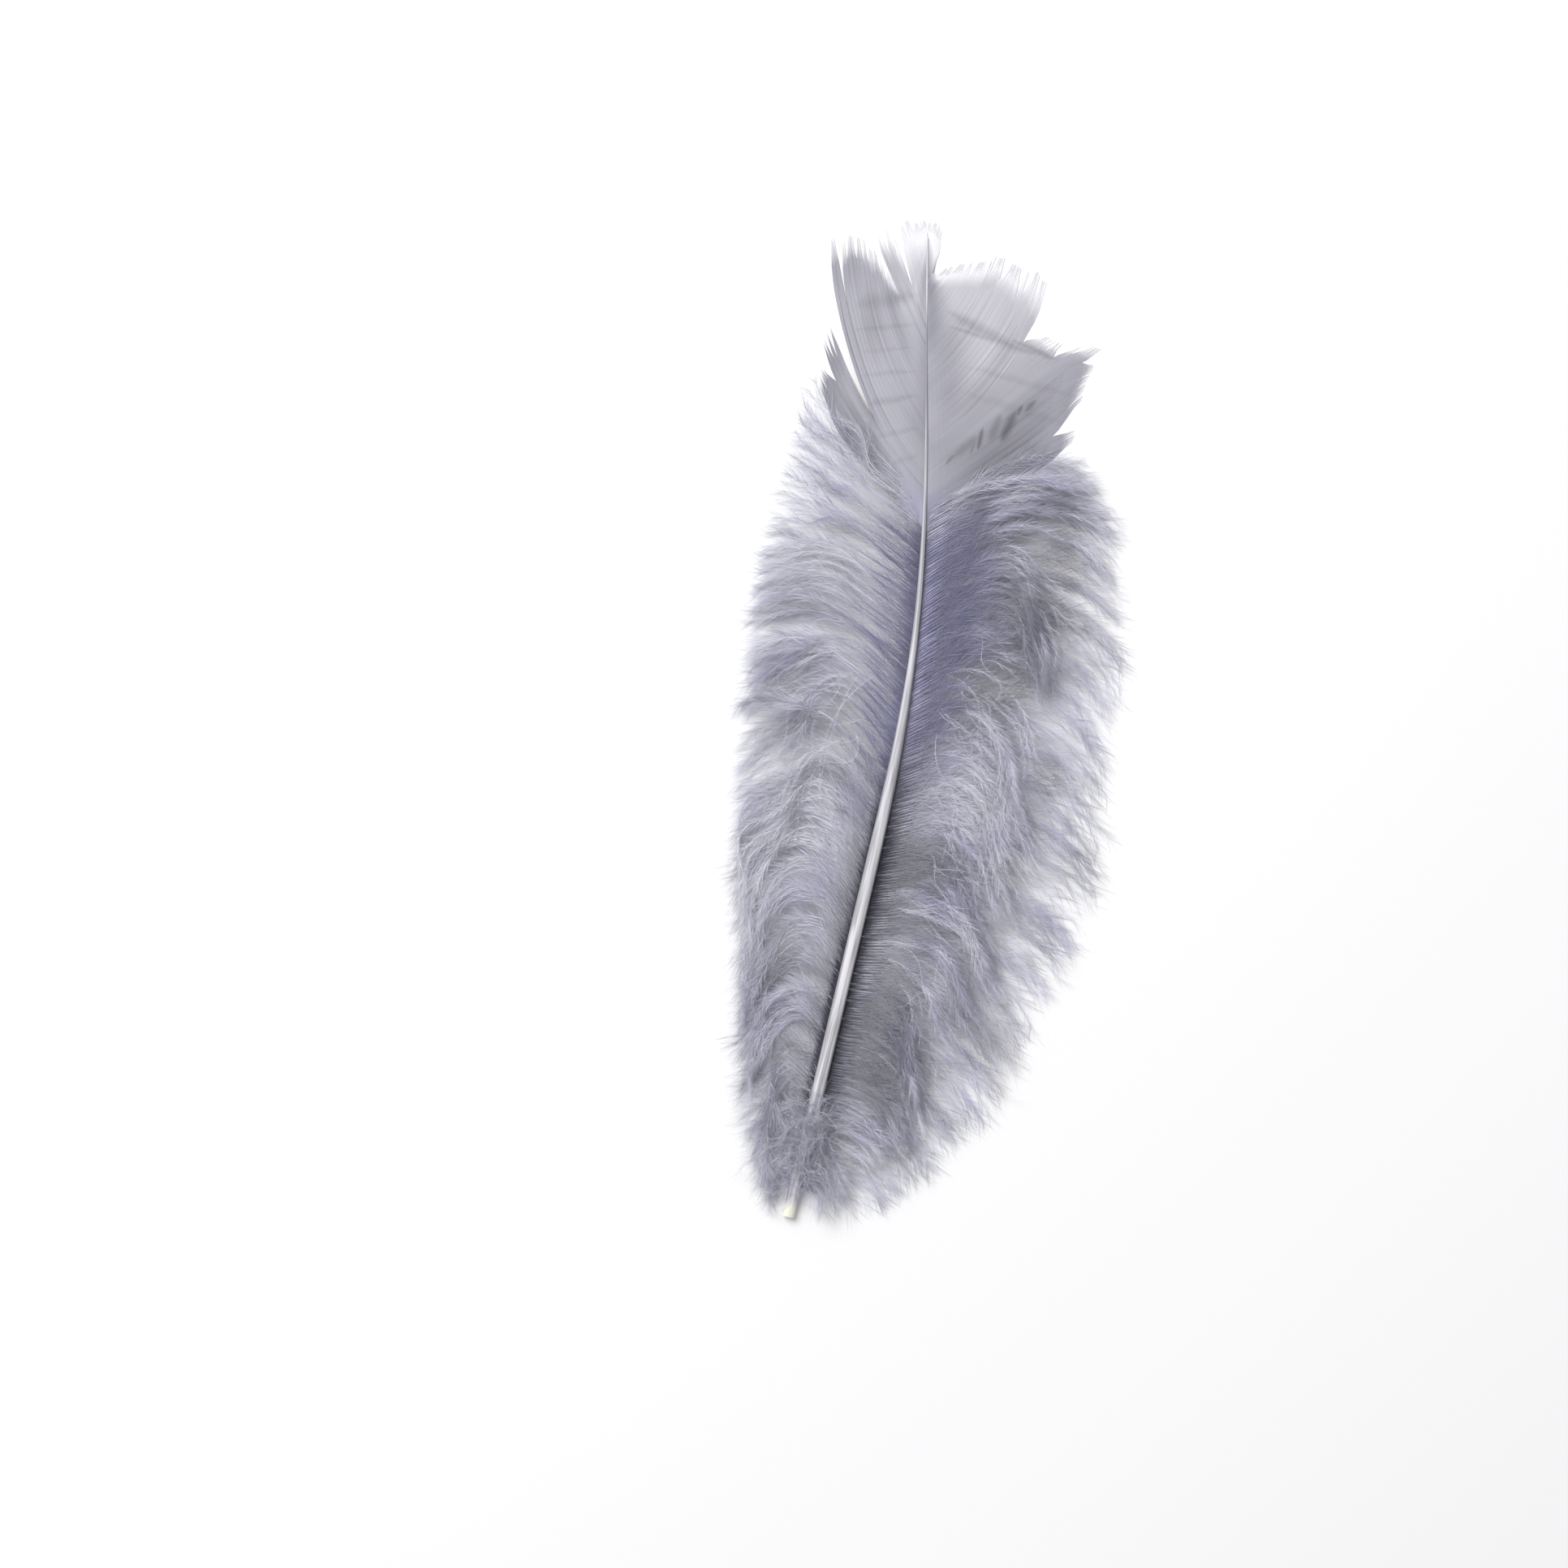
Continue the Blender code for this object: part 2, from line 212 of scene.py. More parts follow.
class FeatherStage(PropertyGroup):
    """Floor, light and camera."""

    photo_width: sized("View width", "Width of the floor that the camera sees", 212.5)
    view_centre: FloatVectorProperty(
        name="View centre", description="Where it looks", size=2, default=(-0.01944, -0.0088), subtype="XYZ"
    )
    lens: FloatProperty(name="Lens", description="Focal length in millimetres", default=85)
    key_power: FloatProperty(name="Key light", description="Power of the soft light, in watts", default=10.4)
    fill: FloatProperty(name="Fill light", description="Strength of the light from all round", default=0.46)


# ---- Curves ----


def mix(first, last, share):
    return first + (last - first) * share


def smooth(start, end, value):
    """0 at start, 1 at end and a smooth change between them, which falls where start is the higher one."""
    share = np.clip((value - start) / (end - start), 0, 1)
    return share * share * (3 - 2 * share)


def bell(middle, width, value):
    return np.exp(-(((value - middle) / width) ** 2))


def heading(angle):
    """Flat directions at these angles from +Y towards +X."""
    return np.stack((np.sin(angle), np.cos(angle)), -1)


def curve_points(points, share):
    """Points at these shares of the way along a smooth curve through points."""
    points = np.asarray(points, float)
    last = len(points) - 1
    place = np.asarray(share) * last
    low = np.clip(place.astype(int), 0, last - 1)
    part = (place - low)[:, None]
    before, start, end, after = (points[np.clip(low + step, 0, last)] for step in (-1, 0, 1, 2))
    bend = 2 * before - 5 * start + 4 * end - after
    return start + 0.5 * part * (end - before + part * (bend + part * (3 * (start - end) + after - before)))


def lean(along):
    """Angle between the shaft and +Y, towards +X."""
    return mix(LOWER_LEAN, UPPER_LEAN, smooth(STRAIGHTENS_FROM, STRAIGHTENS_TO, along))


def shaft_height(along):
    """Height of the shaft's centre over the floor."""
    share = np.clip(along / SHAFT_LENGTH, 0, 1)
    arch = ARCH_HEIGHT * np.sin(np.pi * share) * (1 - 0.5 * smooth(104, 130, along))
    return mix(END_HEIGHT, TIP_HEIGHT, share) + arch


LINE_STEPS = np.arange(0, SHAFT_LENGTH + PATH_STEP, PATH_STEP)
LINE_MOVES = PATH_STEP * heading(lean(LINE_STEPS[:-1] + PATH_STEP / 2))
LINE = QUILL_END + np.concatenate((np.zeros((1, 2)), np.cumsum(LINE_MOVES, 0)))


def shaft_point(along):
    """Centre of the shaft, seen from above."""
    return np.stack([np.interp(along, LINE_STEPS, LINE[:, axis]) for axis in (0, 1)], -1)


def shaft_width(along):
    return np.interp(along, *SHAFT_WIDTHS)


def outline_reach(points):
    """How far an outline lies from the shaft, as places along the shaft and distances."""
    points = QUILL_END + curve_points(points, np.linspace(0, 1, 200))
    gaps = np.linalg.norm(points[:, None] - LINE[None], axis=2)
    nearest = gaps.argmin(1)
    order = np.argsort(nearest, kind="stable")
    return LINE_STEPS[nearest][order], gaps.min(1)[order]


REACHES = {side: outline_reach(points) for side, points in OUTLINES.items()}


def edge_at(side, here):
    """How far the outline lies from these places on the shaft."""
    return np.interp(here, *REACHES[side])


def to_edge(side, here, outwards):
    """Shares of the way from the shaft to the outline."""
    return np.clip(outwards / edge_at(side, here), 0, 1)


def fluff_height(here, edge, rise):
    """Heights that fall from the shaft to the outline, with so much on top near the shaft."""
    return mix(shaft_height(here) - 0.3, 0.4, edge) + rise * (1 - 0.5 * edge)


def kept_in(flat):
    """Draws barbs that would leave the feather's outline back towards their roots."""
    root = flat[:, :1]
    free = np.where(flat > root, MOST_PLACE - root, LEAST_PLACE - root)
    needed = np.abs(flat - root) / np.maximum(np.abs(free), 0.1)
    return root + (flat - root) / np.maximum(1, needed.max(axis=(1, 2), keepdims=True))


def gathered(flat, tufts, share):
    """Draws each tuft's barbs together by a share that may differ from row to row."""
    centres = np.zeros((tufts.max() + 1, *flat.shape[1:]))
    np.add.at(centres, tufts, flat)
    centres /= np.maximum(np.bincount(tufts), 1)[:, None, None]
    return mix(flat, centres[tufts], share[..., None])


def between_rows(values, place):
    """Each barb's values at places between its rows."""
    low = np.minimum(place.astype(int), values.shape[1] - 2)
    barb, part = np.arange(len(values))[:, None], place - low
    if values.ndim == 3:
        part = part[..., None]
    return mix(values[barb, low], values[barb, low + 1], part)


def raised(flat, height, least=0):
    """Paths from flat ones and their heights, none of which is less than the least."""
    return np.concatenate((flat, np.maximum(height, least)[..., None]), -1)


class Barbs:
    """Barbs of one layer: their side, places along the shaft, shares of the way out, and chance for each."""

    def __init__(self, rng, side, along, rows):
        self.rng, self.side, self.along, self.count = rng, side, along, len(along)
        self.place, self.out = along[:, None], np.linspace(0, 1, rows + 1)[None]

    def even(self, low, high):
        return self.rng.uniform(low, high, (self.count, 1))

    def normal(self, middle, spread):
        return self.rng.normal(middle, spread, (self.count, 1))

    def tufts(self, most):
        """Numbers the tufts that neighbouring barbs belong to."""
        return np.cumsum(self.rng.uniform(0, 1, self.count) < 1 / most)

    def by_tuft(self, tufts, middle=0, spread=1):
        """A number for each tuft, given to all its barbs."""
        return self.rng.normal(middle, spread, tufts.max() + 1)[tufts][:, None]

    def waves(self, reach, across, along):
        """A smooth uneven field, about -1 to 1, with waves so long across the barbs and along them."""
        field, count = 0, 6
        for _ in range(count):
            turns = self.place / across * self.rng.uniform(-1, 1)
            turns = turns + reach / along * self.rng.uniform(0.5, 1.3) + self.rng.uniform()
            field = field + np.sin(2 * np.pi * turns)
        return field / math.sqrt(count)

    def own_waves(self, reach, length):
        """A wave along each barb of its own."""
        size, start = self.even(0.7, 1.4), self.even(0, 1)
        return self.normal(0, 1) * np.sin(2 * np.pi * (reach / length / size + start))

    def laid(self, angles, length):
        """Flat paths from angles and lengths, how far out each point is, and its place along the shaft."""
        steps = np.radians((angles[:, 1:] + angles[:, :-1]) / 2)
        size = length / steps.shape[1]
        start = np.zeros((self.count, 1))
        outwards = np.concatenate((start, np.cumsum(size * np.sin(steps), 1)), 1)
        outwards = np.maximum(outwards, np.minimum(np.maximum.accumulate(outwards, 1), NEAREST))
        here = self.place + np.concatenate((start, np.cumsum(size * np.cos(steps), 1)), 1)
        on = np.clip(here, 0, SHAFT_LENGTH)
        turn = lean(on)
        flat = shaft_point(on) + (here - on)[..., None] * heading(turn)
        return flat + (self.side * outwards)[..., None] * heading(turn + np.pi / 2), outwards, here

    def lengths_to(self, angles, part):
        """Lengths with which barbs reach a part of the way to the outline."""
        length = np.full((self.count, 1), 20.0)
        for _ in range(12):
            _, outwards, here = self.laid(angles, length)
            wanted = part * edge_at(self.side, here[:, -1:])
            reached = np.maximum(outwards.max(1, keepdims=True), 0.35 * length)
            length = mix(length, length * wanted / reached, 0.6)
        return length

    def lengths_within(self, angles, length, part):
        """These lengths, but shorter where barbs would come nearer to the outline than that."""
        for _ in range(4):
            _, outwards, here = self.laid(angles, length)
            share = outwards / (part * edge_at(self.side, here))
            length = length / np.maximum(1, share.max(1, keepdims=True))
        return length

    def flows(self, out):
        """Lengths of the fluff's barbs, and their angles at these shares of the way along each."""
        places, lengths, angles = zip(*FLUFF_FLOWS[self.side])
        own = np.stack([np.interp(self.along, places, column) for column in zip(*angles)], 1)
        place = np.clip(out, 0, 1) * (own.shape[1] - 1)
        return np.interp(self.place, places, lengths), between_rows(own, place)


# ---- Objects and node trees ----


def placed(name, data):
    """A new object in the scene."""
    obj = bpy.data.objects.new(name, data)
    bpy.context.scene.collection.objects.link(obj)
    return obj


def keep(mesh, name, values, kind="FLOAT", part="value"):
    """Keeps values at a mesh's points under a name."""
    layer = mesh.attributes.new(name, kind, "POINT")
    layer.data.foreach_set(part, values.astype(np.float32).ravel())


def guide_object(name, paths, thickness, **values):
    """An object of loose edges, one row of them for each barb, with a named value at each point."""
    barbs, rows, _ = paths.shape
    index = np.arange(barbs * rows).reshape(barbs, rows)
    edges = np.stack((index[:, :-1].ravel(), index[:, 1:].ravel()), 1)
    mesh = bpy.data.meshes.new(name)
    mesh.from_pydata((paths * MM).reshape(-1, 3).tolist(), edges.tolist(), [])
    for key, value in {"thickness": thickness * MM, **values}.items():
        keep(mesh, key, np.broadcast_to(value, (barbs, rows)))
    return placed(name, mesh)


def fit_to_feather(obj):
    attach(obj, "root")
    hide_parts(NODE)


class Tree:
    """A node tree that is written as nested calls."""

    def __init__(self, tree):
        self.tree = tree

    def fill(self, node, sockets):
        """Fills a node's sockets, by identifier or place, with values or with what other nodes give."""
        named = {socket.identifier: socket for socket in node.inputs}
        for key, value in sockets.items():
            socket = node.inputs[key] if isinstance(key, int) else named[key]
            for item in value if isinstance(value, list) else [value]:
                if isinstance(item, NodeSocket):
                    self.tree.links.new(item, socket)
                else:
                    socket.default_value = item

    def put(self, kind, sockets, out=0, **settings):
        """Adds a node, fills its sockets and gives one or more of its outputs."""
        node = self.tree.nodes.new(kind)
        for key, value in settings.items():
            setattr(node, key, value)
        self.fill(node, sockets)
        return node.outputs[out] if isinstance(out, int) else [node.outputs[place] for place in out]

    def maths(self, operation, *terms):
        return self.put("ShaderNodeMath", dict(enumerate(terms)), operation=operation)

    def parts(self, vector):
        return self.put("ShaderNodeSeparateXYZ", {0: vector}, out=(0, 1, 2))


class Growth(Tree):
    """A Geometry Nodes tree with named inputs."""

    def __init__(self, name, **inputs):
        super().__init__(bpy.data.node_groups.new(name, "GeometryNodeTree"))
        face = self.tree.interface
        for label, kind in {"Geometry": "Geometry", **inputs, "Material": "Material"}.items():
            face.new_socket(label.replace("_", " "), in_out="INPUT", socket_type=f"NodeSocket{kind}")
        face.new_socket("Geometry", in_out="OUTPUT", socket_type="NodeSocketGeometry")
        self.entry = self.tree.nodes.new("NodeGroupInput").outputs
        self.curves = self.put("GeometryNodeMeshToCurve", {"Mesh": self.entry["Geometry"]})

    def value(self, name):
        return self.put("GeometryNodeInputNamedAttribute", {"Name": name}, data_type="FLOAT")

    def position(self):
        return self.put("GeometryNodeInputPosition", {})

    def moved(self, geometry, x, y, z):
        """Puts a geometry's points at these places."""
        place = self.put("ShaderNodeCombineXYZ", {0: x, 1: y, 2: z})
        return self.put("GeometryNodeSetPosition", {"Geometry": geometry, "Position": place})

    def random(self, low, high, seed):
        sockets = {"Min_001": low, "Max_001": high, "Seed": seed}
        return self.put("FunctionNodeRandomValue", sockets, out=1, data_type="FLOAT")

    def circle(self, corners):
        """A circle of one unit around."""
        sockets = {"Resolution": corners, "Radius": 1.0}
        return self.put("GeometryNodeCurvePrimitiveCircle", sockets, mode="RADIUS")

    def strand(self, curves, profile):
        """Sweeps a profile along curves, as large as their thickness says."""
        upright = self.put("GeometryNodeSetCurveNormal", {"Curve": curves}, mode="Z_UP")
        sockets = {"Curve": upright, "Profile Curve": profile, "Fill Caps": True}
        return self.put("GeometryNodeCurveToMesh", {**sockets, "Scale": self.value("thickness")})

    def finish(self, geometry, floor, soft):
        """Ends the tree: keeps points over the floor, makes instances real and sets their material."""
        x, y, z = self.parts(self.position())
        kept = self.maths("MINIMUM", self.maths("MAXIMUM", z, floor * MM), HIGHEST * MM)
        real = self.put("GeometryNodeRealizeInstances", {"Geometry": self.moved(geometry, x, y, kept)})
        shaded = self.put("GeometryNodeSetShadeSmooth", {"Geometry": real, "Shade Smooth": soft})
        done = self.put("GeometryNodeSetMaterial", {"Geometry": shaded, "Material": self.entry["Material"]})
        self.tree.links.new(done, self.tree.nodes.new("NodeGroupOutput").inputs[0])
        return self.tree


def web_tree():
    """Barbs and their webs: each guide becomes a ridged strip, as wide as its thickness says."""
    tree = Growth("webbed barbs")
    turned = tree.put("GeometryNodeSetCurveTilt", {"Curve": tree.curves, "Tilt": tree.value("roll")})
    across, up, _ = tree.parts(tree.position())
    ridge = tree.maths("MULTIPLY", tree.maths("MAXIMUM", up, -0.4), 0.1)
    profile = tree.moved(tree.circle(6), across, ridge, 0.0)
    return tree.finish(tree.strand(turned, profile), 0.01, False)


def barbule(tree):
    """One barbule, a unit long: a flat spike that leans away from its barb."""
    sockets = {"Vertices": 3, "Side Segments": 1, "Radius Top": 0.0, "Radius Bottom": BARBULE_RATIO}
    spike = tree.put("GeometryNodeMeshCone", {**sockets, "Depth": 1.0}, fill_type="NGON")
    sockets = {"Geometry": spike, "Rotation": (0, BARBULE_LEAN, 0), "Scale": (1, 0.45, 1)}
    return tree.put("GeometryNodeTransform", sockets)


def down_tree():
    """Barbs of down: each guide becomes a fine strand with barbules along both of its sides."""
    tree = Growth("down barbs", Barbule_Spacing="Float", Barbule_Length="Float", Seed="Int")
    barbs = tree.strand(tree.curves, tree.circle(3))

    sockets = {"Curve": tree.curves, "Length": tree.entry["Barbule Spacing"]}
    points, tangent = tree.put("GeometryNodeCurveToPoints", sockets, out=(0, 1), mode="LENGTH")
    ahead = tree.put("FunctionNodeAlignRotationToVector", {"Vector": tangent}, axis="Z")
    sockets = {"Rotation": ahead, "Vector": (0, 0, 1)}
    upright = tree.put("FunctionNodeAlignRotationToVector", sockets, axis="X", pivot_axis="Z")
    side = tree.maths("SIGN", tree.random(-1.0, 1.0, tree.entry["Seed"]))
    spread = tree.maths("MULTIPLY", tree.random(-1.0, 1.0, 11), BARBULE_SPREAD)
    turn = tree.maths("ADD", tree.maths("MULTIPLY", side, math.pi / 2), spread)
    twist = tree.put("FunctionNodeAxisAngleToRotation", {"Axis": (0, 0, 1), "Angle": turn})
    sockets = {"Rotation": upright, "Rotate By": twist}
    turned = tree.put("FunctionNodeRotateRotation", sockets, rotation_space="LOCAL")

    longest = tree.maths("MULTIPLY", tree.value("barbule"), tree.entry["Barbule Length"])
    long = tree.maths("MULTIPLY", longest, tree.random(0.4, 1.2, 23))
    widest = tree.maths("MAXIMUM", long, LEAST_OPENING * MM)
    opening = tree.maths("MULTIPLY", widest, tree.random(0.2, 1.15, 31))
    scale = tree.put("ShaderNodeCombineXYZ", {0: opening, 1: long, 2: long})
    sockets = {"Points": points, "Instance": barbule(tree), "Rotation": turned, "Scale": scale}
    many = tree.put("GeometryNodeInstanceOnPoints", sockets)
    real = tree.put("GeometryNodeRealizeInstances", {"Geometry": many})
    return tree.finish(tree.put("GeometryNodeJoinGeometry", {"Geometry": [barbs, real]}), DOWN_FLOOR, True)


def grow(obj, tree, settings):
    """Runs a node tree on a guide object, keeps the result as its plain mesh and fits it to the feather."""
    modifier = obj.modifiers.new("grow", "NODES")
    modifier.node_group = tree
    sockets = {item.name: item.identifier for item in tree.interface.items_tree if item.in_out == "INPUT"}
    for label, value in settings.items():
        modifier[sockets[label]] = value
    graph = bpy.context.evaluated_depsgraph_get()
    grown = obj.evaluated_get(graph)
    mesh = bpy.data.meshes.new_from_object(grown, preserve_all_data_layers=True, depsgraph=graph)
    old = obj.data
    obj.modifiers.remove(modifier)
    obj.data = mesh
    mesh.name = obj.name
    bpy.data.meshes.remove(old)
    fit_to_feather(obj)


# ---- Materials ----


class Paint(Tree):
    """A material's node tree, from the colours of the settings."""

    def __init__(self, name):
        self.material = bpy.data.materials.new(name)
        self.material.use_nodes = True
        self.colours = bpy.context.scene.feather_colours
        super().__init__(self.material.node_tree)

    def value(self, name, part="Fac"):
        """What an attribute of this name holds."""
        node = self.tree.nodes.new("ShaderNodeAttribute")
        node.attribute_name = name
        return node.outputs[part]

    def blend(self, share, first, last):
        """A colour that goes from first to last with share. Both may be colours or sockets."""
        first, last = (item if isinstance(item, NodeSocket) else (*item, 1) for item in (first, last))
        return self.put("ShaderNodeMix", {0: share, 6: first, 7: last}, out=2, data_type="RGBA")

    def dye(self, first, **layers):
        """Lays one colour after the other over the first, each by the attribute of its name; the layers are
        dye and also painted shade.
        """
        for name, last in layers.items():
            first = self.blend(self.value(name), first, last)
        return first

    def ramp(self, value, low, high, start=0.0, end=1.0):
        sockets = {0: value, 1: low, 2: high, 3: start, 4: end}
        return self.put("ShaderNodeMapRange", sockets, interpolation_type="SMOOTHSTEP")

    def noise(self, place, scale, detail=2.0):
        return self.put("ShaderNodeTexNoise", {"Vector": place, "Scale": scale, "Detail": detail})

    def own_place(self):
        """Object coordinates."""
        return self.put("ShaderNodeTexCoord", {}, out=3)

    def finish(self, sockets):
        """Fills the shader's sockets and gives the material."""
        self.fill(self.tree.nodes["Principled BSDF"], sockets)
        return self.material


def scaled(colour, factor):
    return tuple(min(1, factor * value) for value in colour)


def down_material():
    paint = Paint("down")
    colours, shade = paint.colours, paint.value("shade")
    patches = paint.ramp(paint.noise(paint.own_place(), 75, 2.0), 0.42, 0.62, 0.0, 0.55)
    dyed_down = paint.blend(patches, colours.down, colours.down_lavender)
    # Lit and shaded copies: shade runs from a darker copy of the down, painted shade, through the down to
    # the palest barbs and painted highlights.
    dark = paint.blend(patches, scaled(colours.down, 0.55), scaled(colours.down_lavender, 0.55))
    colour = paint.blend(paint.ramp(shade, 0.0, 0.5), dark, dyed_down)
    colour = paint.blend(paint.ramp(shade, 0.5, 1.0), colour, colours.down_pale_and_highlight)
    # root lays the painted shade over the down, on top of the violet dye.
    colour = paint.dye(colour, violet=colours.down_violet, root=colours.down_painted_shade)
    sheen = {"Specular IOR Level": 0.35, "Sheen Weight": 0.15, "Sheen Roughness": 0.5}
    return paint.finish({"Base Color": colour, "Roughness": 0.55, **sheen})


def marks_and_slit_shade(paint):
    """How dark the vane is from its growth marks and from painted shade in its slits, from object
    coordinates.
    """
    place = paint.own_place()
    x, y, _ = paint.parts(place)
    waver = paint.maths("MULTIPLY", paint.maths("SUBTRACT", paint.noise(place, 600, 3.0), 0.5), 0.8 * MM)
    moved = paint.put("ShaderNodeCombineXYZ", {0: x, 1: paint.maths("ADD", y, waver)})
    total = 0.0
    for *spots, width, strength in MARKS_AND_SLIT_SHADE:
        start = Vector(spots[:2])
        run = Vector(spots[2:]) - start
        turn, size = (0, 0, math.atan2(run.y, run.x)), (run.length * MM, width * MM, 1)
        sockets = {"Vector": moved, "Location": (*start * MM, 0), "Rotation": turn, "Scale": size}
        along, across, _ = paint.parts(paint.put("ShaderNodeMapping", sockets, vector_type="TEXTURE"))
        ends = paint.maths("ABSOLUTE", paint.maths("MULTIPLY_ADD", along, 1.8, -0.9))
        away = paint.maths("ADD", paint.maths("ABSOLUTE", across), paint.maths("POWER", ends, 3.0))
        total = paint.maths("MAXIMUM", total, paint.ramp(away, 0.0, 1.0, strength, 0.0))
    return total


def vane_material():
    paint = Paint("vane")
    colours, vane = paint.colours, paint.colours.vane
    # The vane's shade is random tone, with painted shade on its loose lowest barbs.
    colour = paint.dye(vane, shade=scaled(vane, 0.7), violet=colours.down_violet, thin=colours.vane_tip)
    colour = paint.blend(marks_and_slit_shade(paint), colour, scaled(vane, 0.4))
    sheen = {"Specular IOR Level": 0.35, "Sheen Weight": 0.1}
    return paint.finish({"Base Color": colour, "Roughness": 0.5, **sheen})


def quill_material():
    paint = Paint("quill")
    colours, horn = paint.colours, paint.colours.quill
    lines = paint.noise(paint.value("grain", "Vector"), 1.0)
    colour = paint.blend(paint.ramp(lines, 0.43, 0.6, 0.0, 0.95), horn, scaled(horn, 0.55))
    upper = scaled(colours.vane, 0.8)
    # edge lays painted shade on the quill's flanks.
    colour = paint.dye(colour, edge=scaled(horn, 0.5), upper=upper, tip=colours.vane_tip, cut=DRY_PITH)
    bump = paint.put("ShaderNodeBump", {"Strength": 0.3, "Distance": 0.05 * MM, "Height": lines})
    return paint.finish({"Base Color": colour, "Normal": bump, "Roughness": 0.38})


# ---- The quill ----


def quill_points(along, turn):
    """Rings of points around the shaft, which start with the pith and the rim of the cut end."""
    across = heading(lean(along) + np.pi / 2)
    grooves = smooth(8, 22, along) * sum(bell(at, 0.12, turn) for at in GROOVE_TURNS)
    radius = shaft_width(along) / 2 * (1 - 0.07 * grooves)
    points = np.empty((QUILL_RINGS, QUILL_SIDES, 3))
    points[..., :2] = shaft_point(along) + (radius * np.cos(turn))[..., None] * across
    points[..., 2] = np.maximum(shaft_height(along) + 0.92 * radius * np.sin(turn), 0.02)
    middle = points[0].mean(0)
    rim, pith = (middle + share * (points[0] - middle) for share in (RIM_SHARE, PITH_SHARE))
    pith[:, :2] += HOLLOW_DEPTH * heading(LOWER_LEAN)
    return np.concatenate((pith[None], rim[None], points))


class FEATHER_OT_quill(Operator):
    """Makes the quill and its shaft"""

    bl_idname = "feather.quill"
    bl_label = "Quill and shaft"

    def execute(self, context):
        along = np.linspace(0, SHAFT_LENGTH, QUILL_RINGS)[:, None]
        turn = np.linspace(0, 2 * np.pi, QUILL_SIDES, endpoint=False)
        points = quill_points(along, turn)
        index = np.arange(len(points) * QUILL_SIDES).reshape(-1, QUILL_SIDES)
        after = np.roll(index, -1, axis=1)
        faces = np.stack((index[1:], after[1:], after[:-1], index[:-1]), -1).reshape(-1, 4).tolist()
        faces += [index[0].tolist(), index[-1][::-1].tolist()]
        mesh = bpy.data.meshes.new("quill")
        mesh.from_pydata((points * MM).reshape(-1, 3).tolist(), [], faces)
        mesh.shade_smooth()
        mesh.set_sharp_from_angle(angle=math.radians(50))
        values = {
            "cut": smooth(2.4, 0.9, along),
            # Painted shade on the quill's flanks, which turn away from the light.
            "edge": smooth(0.6, 0.98, np.abs(np.cos(turn))) * smooth(3, 12, along),
            "upper": np.interp(along, *UPPER_SHAFT),
            "tip": smooth(121, 129, along),
        }
        for key, value in values.items():
            value = np.broadcast_to(value, (QUILL_RINGS, QUILL_SIDES))
            keep(mesh, key, np.concatenate((value[:2], value)))
        grain = np.stack(np.broadcast_arrays(2.2 * np.cos(turn), 2.2 * np.sin(turn), 0.1 * along), -1)
        keep(mesh, "grain", np.concatenate((grain[:2], grain)), "FLOAT_VECTOR", "vector")
        mesh.materials.append(quill_material())
        fit_to_feather(placed("quill", mesh))
        return {"FINISHED"}


# ---- The vane ----


def lobe_barbs(rng, side, lobe, spacing):
    """Places on the shaft and flat paths of one lobe's barbs."""
    low, high = lobe.roots
    share = np.linspace(0, 1, max(4, round((high - low) / spacing)))
    barbs = Barbs(rng, side, mix(low, high, share), VANE_ROWS)
    push = 0
    for slit in rng.uniform(0.05, 0.95, 6):
        gap = share - slit
        push = push + rng.uniform(0.3, 1) * np.tanh(gap / 0.015) * np.exp(-np.abs(gap) / 0.07)
    tips = QUILL_END + curve_points(lobe.tips, np.clip(share + 0.03 * lobe.loose * push, 0, 1))
    wisps = barbs.tufts(5)
    fringe = barbs.by_tuft(wisps, -0.01, 0.022) + barbs.normal(0, 0.006 + 0.01 * lobe.loose)
    roots = shaft_point(barbs.along)
    tips = tips + (tips - roots) * fringe
    reach = np.linalg.norm(tips - roots, axis=1, keepdims=True)
    launch = lean(barbs.along) + side * np.radians(mix(*lobe.launch, share))
    bend = roots + VANE_STIFFNESS * reach * heading(launch)
    out = barbs.out[..., None]
    flat = (1 - out) ** 2 * roots[:, None] + 2 * out * (1 - out) * bend[:, None] + out**2 * tips[:, None]
    return barbs.along, gathered(flat, wisps, 0.55 * smooth(0.82, 1.0, barbs.out))


def close_slit(flat, last, slit):
    """Draws the barbs on both sides of a slit together, up to where it opens."""
    middle = (flat[last] + flat[last + 1]) / 2
    shut = smooth(slit + 0.22, slit - 0.22, np.linspace(0, 1, VANE_ROWS + 1))
    for edge, step in ((last, -1), (last + 1, 1)):
        pull = (middle - flat[edge]) * shut[:, None]
        for far in range(SLIT_PULLS):
            barb = edge + step * far
            if 0 <= barb < len(flat):
                flat[barb] += pull * (1 - far / SLIT_PULLS) ** 1.3


def rolls(flat, height):
    """How far each web turns about its own barb so that it lies along the surface across the barbs."""
    across, ahead = np.gradient(flat, axis=0), np.gradient(flat, axis=1)
    size = np.linalg.norm(ahead, axis=2)
    right = np.stack((ahead[..., 1], -ahead[..., 0]), -1) / size[..., None]
    beside = (across * right).sum(2)
    beside = np.copysign(np.maximum(np.abs(beside), 0.04), beside)
    rise = np.gradient(height, axis=0) - np.gradient(height, axis=1) * (across * ahead).sum(2) / size**2
    return -np.arctan(np.clip(rise / beside, -1, 1))


def web_width(flat, to_tip):
    """Widths that close the vane between neighbouring barbs and narrow towards their tips."""
    step, ahead = np.gradient(flat, axis=0), np.gradient(flat, axis=1)
    ahead /= np.linalg.norm(ahead, axis=2, keepdims=True)
    spread = np.abs(step[..., 0] * ahead[..., 1] - step[..., 1] * ahead[..., 0])
    usual = np.median(spread, axis=0, keepdims=True)
    return (0.68 * np.minimum(spread, 2.3 * usual) + 0.04) * mix(0.22, 1, smooth(0, 3.2, to_tip))


